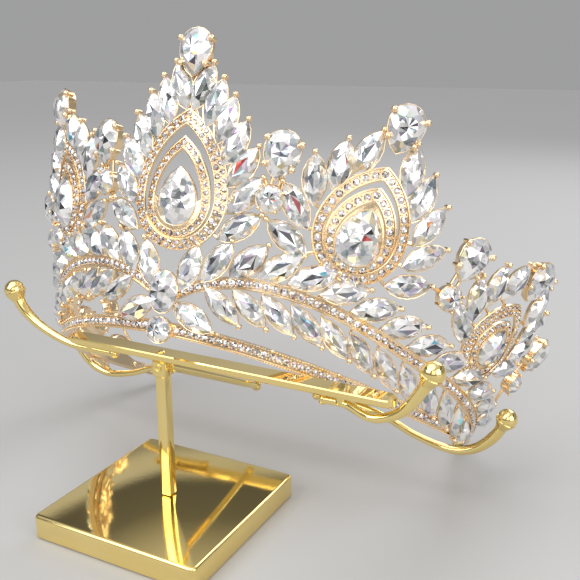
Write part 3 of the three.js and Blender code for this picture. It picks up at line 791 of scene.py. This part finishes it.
def makeMetalwork():
    metal, rimMetal, stones, beads = Shape(), Shape(), Shape(), Shape()
    shapes = (metal, stones, beads)
    end, stemStart, stemEnd = crown["bandEnd"], crown["stemStart"], crown["stemEnd"]
    makeArcRow(arcRows["band"], (-end, end), 240, lambda angle: bandOnWall(angle) + bandLift, *shapes)
    for side in (-1, 1):
        makeArcRow(arcRows["stem"], (side * stemStart, side * stemEnd), 110, stemOnWall, *shapes)
        metal.ball(onWall(side * stemEnd, 0, stemOnWall(stemEnd), 0.3), crown["stemKnob"], 3)
        for angle in nubs["angles"]:  # on the band's upper edge
            place = onSpot(side * angle, 0, bandOnWall(angle) + nubs["above"])
            metal.ball(place(0, 0, nubs["off"]), nubs["radius"], 2)
        addEndLoop(metal, side)
    for name, ending, peak in allPeaks():
        for rim in rims[name]:
            addRim(rimMetal, stones, beads, peak["angle"], rim)
        for rim in rims[name]:
            addPlate(rimMetal, peak["angle"], rim["inner"], *rim["plate"])
    makePiece("band_and_stems", metal, crownGold, standsFor=["crown_frame"])
    makePiece("peak_rims", rimMetal, crownGold)
    makePiece("pave_stones", stones, paveCrystal)
    makePiece("pave_beads", beads, crownGold)


# Main stones

links = {
    "inner_link": {"angle": 18.1, "round": 47.9, "pear": 61.8},
    "middle_link": {"angle": 56.6, "round": 41.2, "pear": 55.4},
    "outer_link": {"angle": 97.2, "round": 38, "pear": 52.4},
}
linkWire = {
    "radius": 0.62, "twinRadius": 0.6, "twinAt": 1.3, "height": 0.2, "neckRadius": 0.8,
    "overRound": 3, "underPear": 4.5, "aside": 2, "underRimTip": 2, "underTip": 5,
}
clawDirections = {"pear": (42, 138, 222, 318), "round": (45, 135, 225, 315)}  # from the stone's middle


def mainStones():
    # Node, cut, angle and height of every main stone, and whether it has claws.
    for kind, y in (("round", -0.2), ("oval", 12.3)):
        yield f"front_{kind}_stone", kind, 0, y, False
    for name, ending, peak in allPeaks():
        yield f"{name}_drop_stone{ending}", peak["stone"], peak["angle"], peak["stoneAt"], False
        yield f"{name}_tip_stone{ending}", "pear", peak["angle"], peak["tipAt"], True
    for name, link in links.items():
        for side, ending in bothSides:
            for kind in ("round", "pear"):
                yield f"{name}_{kind}_stone{ending}", kind, side * link["angle"], link[kind], True


def edgeAt(outline, direction):
    # The point of an outline in a direction from its middle.
    wanted = radians(direction)

    def away(point):
        return abs(remainder(atan2(point[1], point[0]) - wanted, 2 * pi))

    return min(outline, key=away)


def makeMainStones():
    settings, stoneClaws, wires = Shape(), Shape(), Shape()
    for number, (node, cutName, angle, y, clawed) in enumerate(mainStones()):
        cut = stoneCuts[cutName]
        place = onSpot(angle, 0, y)
        stone = Shape()
        cutStone(stone, cut, place, random.Random(100 + number), cups["main"])
        makePiece(node + "_cut", stone, crystal, standsFor=[node])
        addSetting(settings, cut["outline"], place, cups["main"])
        for direction in clawDirections[cutName] if clawed else ():
            u, v = edgeAt(cut["outline"], direction)
            addClaw(stoneClaws, place, u, v, claws[cutName])
    height, radius = linkWire["height"], linkWire["radius"]
    for link in links.values():
        for side in (-1, 1):
            at = onSpot(side * link["angle"], 0, 0)
            for x in (-linkWire["twinAt"], linkWire["twinAt"]):  # from the round stone to the pear
                span = (link["round"] + linkWire["overRound"], link["pear"] - linkWire["underPear"])
                wires.rod([at(x, y, height) for y in span], linkWire["twinRadius"], 8)
            middle = at(0, link["round"], height)
            beside = at(1, link["round"], height) - middle
            for way in (-1, 1):  # and one to the nearest leaf on each side
                there = [tip for tip in leafTips if (tip - middle).dot(beside) * way > linkWire["aside"]]
                wires.rod([middle, min(there, key=lambda tip: (tip - middle).length)], radius, 8)
    for name, ending, peak in allPeaks():
        middle = onWall(peak["angle"], 0, peak["tipAt"], height)
        for tip in sorted(leafTips, key=lambda tip: (tip - middle).length)[:2]:
            wires.rod([middle, tip], radius, 8)
        if name == "centre":
            span = (peak["outer"][2] - linkWire["underRimTip"], peak["tipAt"] - linkWire["underTip"])
            wires.rod([onWall(peak["angle"], 0, y, -0.1) for y in span], linkWire["neckRadius"], 8)
    makePiece("stone_settings", settings, crownGold)
    makePiece("stone_claws", stoneClaws, crownGold)
    makePiece("link_wires", wires, crownGold)


# Stand

stand = {
    "barTop": 62.9, "barHeight": 2.4, "barWidth": 7.0, "barEase": 0.35, "gap": 0.3, "rod": 1.4, "ball": 3.7,
    "frontSpan": (-39.6, 84.0), "rearSpan": (-52.0, 56.8), "rearPlane": 63.0, "rearTop": 32.2,
    "swell": 0.7,  # how much an arm thickens towards its ball
    "stayFront": (3.8, 7), "stayRear": 5.8, "stayFoot": 2.1,
    "baseCorner": 0.0022, "baseEdge": 0.001,  # in metres, as the boxes of nodes are
}
collar = [(1.2, 2.0), (1.1, 2.2), (0.86, 2.7), (0.6, 3.25), (0.36, 3.68), (0.24, 3.82), (0.2, 3.7)]
post = {
    "shaft": (2.0, 0.35, 8.9, 54.8), "bracket": (2.7, 0.5, 54.1),  # half width, eased corner, span
    "pinAt": 57.6, "pin": [(-2.72, 0.8), (-3.1, 0.85), (-3.1, 1.3), (3.1, 1.3), (3.1, 0.85), (2.72, 0.8)],
}
screw = {"y": -0.6, "profile": [(-0.5, 1.25), (0.2, 1.25), (0.45, 0.95), (0.5, 0.4)]}
rivet = [(0, 1.7), (2.0, 1.7), (2.7, 1.45), (3.0, 0.7)]


def makeRoundedBox(name, node, corner, bevel):
    # A CAD block again, with soft edges.
    low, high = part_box(node)
    mesh = bpy.data.meshes.new(name)
    work = bmesh.new()
    bmesh.ops.create_cube(work, size=1)
    for vert in work.verts:
        vert.co = Vector([(low[k] + high[k]) / 2 + vert.co[k] * (high[k] - low[k]) for k in range(3)])
    for upright, offset, segments in ((True, corner, 6), (False, bevel, 4)):
        edges = [e for e in work.edges if (abs(e.verts[0].co.z - e.verts[1].co.z) > 0.001) == upright]
        bmesh.ops.bevel(work, geom=edges, offset=offset, segments=segments, affect="EDGES", profile=0.5)
    work.to_mesh(mesh)
    work.free()
    putPiece(name, mesh, standGold, [node], 30)


def smoothPath(points, steps):
    # A Catmull-Rom curve through points.
    path = []
    for i in range(len(points) - 1):
        a, b, c, d = fourRound(points, i)
        for t in (k / steps for k in range(steps)):
            path.append(0.5 * (2 * b + (c - a) * t + (2 * a - 5 * b + 4 * c - d) * t * t
                               + (3 * b - a - 3 * c + d) * t ** 3))
    return path + [points[-1]]


def addArm(shape, path, y, rivetX, rivetTop):
    # A bent rod with a rounded tail, a ball with its collar, and a rivet up to the bar.
    points = smoothPath([Vector((x, y, z)) for x, z in path], 9)
    last = len(points) - 1
    swell = [min(1, max(0, 2.2 * i / last - 0.9)) for i in range(last + 1)]
    shape.rod(points, [stand["rod"] + stand["swell"] * part for part in swell], 16)
    shape.ball(points[0], stand["rod"] * 1.3, 3)
    shape.ball(points[-1], stand["ball"], 4)
    ahead = (points[-1] - points[-4]).normalized()
    shape.rod([points[-1] - ahead * stand["ball"] * d for d, radius in collar], [r for d, r in collar], 28)
    shape.rod([Vector((rivetX, y, rivetTop - d)) for d, radius in rivet], [r for d, r in rivet], 18)


def easedLayers(half, ease, low, high):
    # Half widths and heights of a block whose lower and upper edges are eased.
    return (half - ease, low), (half, low + ease), (half, high - ease), (half - ease, high)


def addBar(shape, span, y, top):
    # A flat bar with round ends.
    half = stand["barWidth"] / 2
    loops = []
    for radius, z in easedLayers(half, stand["barEase"], top - stand["barHeight"], top):
        loop = []
        for end, start in ((span[1] - half, -90), (span[0] + half, 90)):
            for k in range(17):
                a = radians(start + 180 * k / 16)
                loop.append(Vector((end + radius * cos(a), y + radius * sin(a), z)))
        loops.append(loop)
    shape.loft(loops)


def addPost(shape, half, ease, start, stop):
    # A square rod with eased corners and ends.
    loops = []
    for size, z in easedLayers(half, ease, start, stop):
        loop = []
        for corner in range(4):
            a = radians(45 + 90 * corner)
            cx, cy = copysign(size - ease, cos(a)), copysign(size - ease, sin(a))
            for b in (radians(90 * corner + 30 * k) for k in range(4)):
                loop.append(Vector((cx + ease * cos(b), cy + ease * sin(b), z)))
        loops.append(loop)
    shape.loft(loops)


def makeStandPiece(name, shape, node, crease=30):
    makePiece("stand_" + name, shape, standGold, standPlace, [node], crease)


def makeStand():
    top, rearTop, plane, rod = stand["barTop"], stand["rearTop"], stand["rearPlane"], stand["rod"]
    under, rearUnder = (height - stand["barHeight"] - stand["gap"] for height in (top, rearTop))
    makeRoundedBox("base_block", "base_plate", stand["baseCorner"], stand["baseEdge"])
    upright, front, rear, stay = Shape(), Shape(), Shape(), Shape()
    addPost(upright, *post["shaft"])
    addPost(upright, *post["bracket"], under)
    hollow = []  # a through pin with a hollow head on each side
    for y, radius in post["pin"]:
        hollow.append([Vector((x, y, post["pinAt"] + z)) for x, z in ovalOutline(radius, radius, 20)])
    upright.loft(hollow)
    makeStandPiece("post", upright, "post")
    addBar(front, stand["frontSpan"], 0, top)
    front.rod([Vector((0, screw["y"], top + d)) for d, radius in screw["profile"]],
              [radius for d, radius in screw["profile"]], 20)
    makeStandPiece("front_bar", front, "front_bar")
    addBar(rear, stand["rearSpan"], plane, rearTop)
    makeStandPiece("rear_bar", rear, "rear_bar")
    y, below = stand["stayFront"]
    ends = [Vector((0, y, top - below)), Vector((0, plane, rearTop - stand["stayRear"]))]
    stay.rod([ends[0].lerp(ends[1], i / 6) for i in range(7)], rod, 16)
    stay.ball(ends[0], rod * 1.05, 3)
    stay.ball(ends[1], stand["stayFoot"], 3)
    makeStandPiece("stay", stay, "rear_stay")
    rodAt, rearRod = under - rod - 0.3, rearUnder - rod - 0.3
    rearPath = [(28, rearRod), (42, rearRod), (57.7, 24.7), (68.5, 20.4), (79, 17.8), (86.5, 17.6),
                (93.5, 20.4), (99.5, 26.4), (103.5, 34.1)]
    mirror = 2 * crown["centre"][0]
    arms = {  # points along the rod as (x, z), its plane, and its rivet with the bar's underside
        "front_arm_left": ([(-20.9, rodAt), (-30, rodAt), (-41.5, rodAt + 0.4), (-54.4, 63.2), (-62.6, 69),
                            (-66.3, 75.6)], 0, -31, under),
        "front_arm_right": ([(60.5, rodAt - 0.6), (68, 57.7), (76.3, 55), (85.4, 58.8), (91.4, 67),
                             (94.3, 72.8)], 0, 66, under),
        "rear_arm_right": (rearPath, plane, 44, rearUnder),
        "rear_arm_left": ([(mirror - x, z) for x, z in rearPath], plane, mirror - 44, rearUnder),
    }
    for node, arm in arms.items():
        shape = Shape()
        addArm(shape, *arm)
        makeStandPiece(node, shape, node, 45)


makeLeaves()
print("leaves made")
makeMetalwork()
print("band, stems and rims made")
makeMainStones()
print("main stones made")
makeStand()
print("stand made")


# Floor, light and camera

studio = {
    "floor": (0.43, 0.425, 0.415), "floorSize": 8.0, "floorRough": 0.6, "backdrop": (0.345, 0.345, 0.35),
    "sky": 0.8, "skyTint": (1, 1, 1.04),  # the steps run from straight down to straight up
    "skySteps": [(0.0, 0.45), (0.5, 0.4), (0.66, 0.36), (0.68, 0.62), (0.706, 0.62), (0.724, 0.12),
                 (0.78, 0.16), (0.86, 0.75), (1.0, 1.0)],
    "aim": (0, 0.02, 0.09),
    "wash": {"place": (-0.2, -0.3, 1.0), "energy": 1.2, "angle": 60},
}
softboxes = {  # place, size, energy, colour
    "key": ((-0.45, -0.85, 0.75), 0.8, 5.6, (1, 1, 1)),
    "front": ((0.5, -1.0, 0.6), 0.7, 2, (1, 1, 1)),
    "fill": ((1.0, -0.3, 0.5), 0.8, 5.5, (1, 0.97, 0.93)),
    "back": ((0.2, 0.9, 0.75), 0.7, 4, (0.93, 0.96, 1)),
}
view = {"eye": (0.1557, -0.2046, 0.1586), "heading": (-0.463, 0.886), "pitch": 16.3, "lens": 49.6,
        "sensor": 36, "near": 0.005}


def makeFloor():
    half = studio["floorSize"] / 2
    corners = [(-half, -half, 0), (half, -half, 0), (half, half, 0), (-half, half, 0)]
    mesh = bpy.data.meshes.new("floor")
    mesh.from_pydata(corners, [], [(0, 1, 2, 3)])
    floor = bpy.data.objects.new("floor", mesh)
    bpy.context.scene.collection.objects.link(floor)
    material = bpy.data.materials.new("paleFloor")
    material.use_nodes = True
    setInputs(material.node_tree.nodes["Principled BSDF"],
              {"Base Color": (*studio["floor"], 1), "Roughness": studio["floorRough"]})
    mesh.materials.append(material)


def makeWorld():
    # A soft studio: bright overhead, darker round the horizon, plain and pale to the camera.
    world = bpy.data.worlds.new("studio")
    world.use_nodes = True
    bpy.context.scene.world = world
    tree = world.node_tree
    plain = tree.nodes["Background"]
    setInputs(plain, {"Color": (*studio["backdrop"], 1)})
    coordinate = addNode(tree, "TexCoord", -900, 0)
    split = addNode(tree, "SeparateXYZ", -700, 0)
    height = addRange(tree, -600, -200, (-1, 1), (0, 1))
    ramp = addNode(tree, "ValToRGB", -500, 0)
    steps = ramp.color_ramp.elements
    while len(steps) < len(studio["skySteps"]):
        steps.new(0.5)
    for step, (position, value) in zip(steps, studio["skySteps"]):
        step.position = position
        step.color = (*(value * tint for tint in studio["skyTint"]), 1)
    lit = addNode(tree, "Background", -200, -150, {"Strength": studio["sky"]})
    rays = addNode(tree, "LightPath", -200, 200)
    mix = addNode(tree, "MixShader", 50, 0)
    join(tree,
         (coordinate, "Generated", split, 0), (split, "Z", height, "Value"),
         (height, "Result", ramp, "Fac"), (ramp, "Color", lit, "Color"),
         (rays, "Is Camera Ray", mix, "Fac"), (lit, 0, mix, 1),
         (plain, 0, mix, 2), (mix, 0, tree.nodes["World Output"], "Surface"))


def aimed(name, data, place, ahead):
    # A light or camera at a place, looking ahead.
    thing = bpy.data.objects.new(name, data)
    thing.location = place
    thing.rotation_euler = ahead.to_track_quat("-Z", "Y").to_euler()
    bpy.context.scene.collection.objects.link(thing)
    return thing


def makeLights():
    for name, (place, size, energy, colour) in softboxes.items():
        data = bpy.data.lights.new(name, "AREA")
        data.size = size
        data.energy = energy
        data.color = colour
        aimed(name, data, place, Vector(studio["aim"]) - Vector(place))
    wash = studio["wash"]
    data = bpy.data.lights.new("wash", "SUN")
    data.energy = wash["energy"]
    data.angle = radians(wash["angle"])
    aimed("wash", data, (0, 0, 0), -Vector(wash["place"]))


def makeCamera():
    pitch = radians(view["pitch"])
    x, y = view["heading"]
    data = bpy.data.cameras.new("camera")
    data.lens = view["lens"]
    data.sensor_width = view["sensor"]
    data.clip_start = view["near"]
    ahead = Vector((x * cos(pitch), y * cos(pitch), -sin(pitch)))
    bpy.context.scene.camera = aimed("camera", data, view["eye"], ahead)


makeFloor()
makeWorld()
makeLights()
makeCamera()
bpy.context.scene.view_settings.view_transform = "Standard"

bpy.context.view_layer.update()
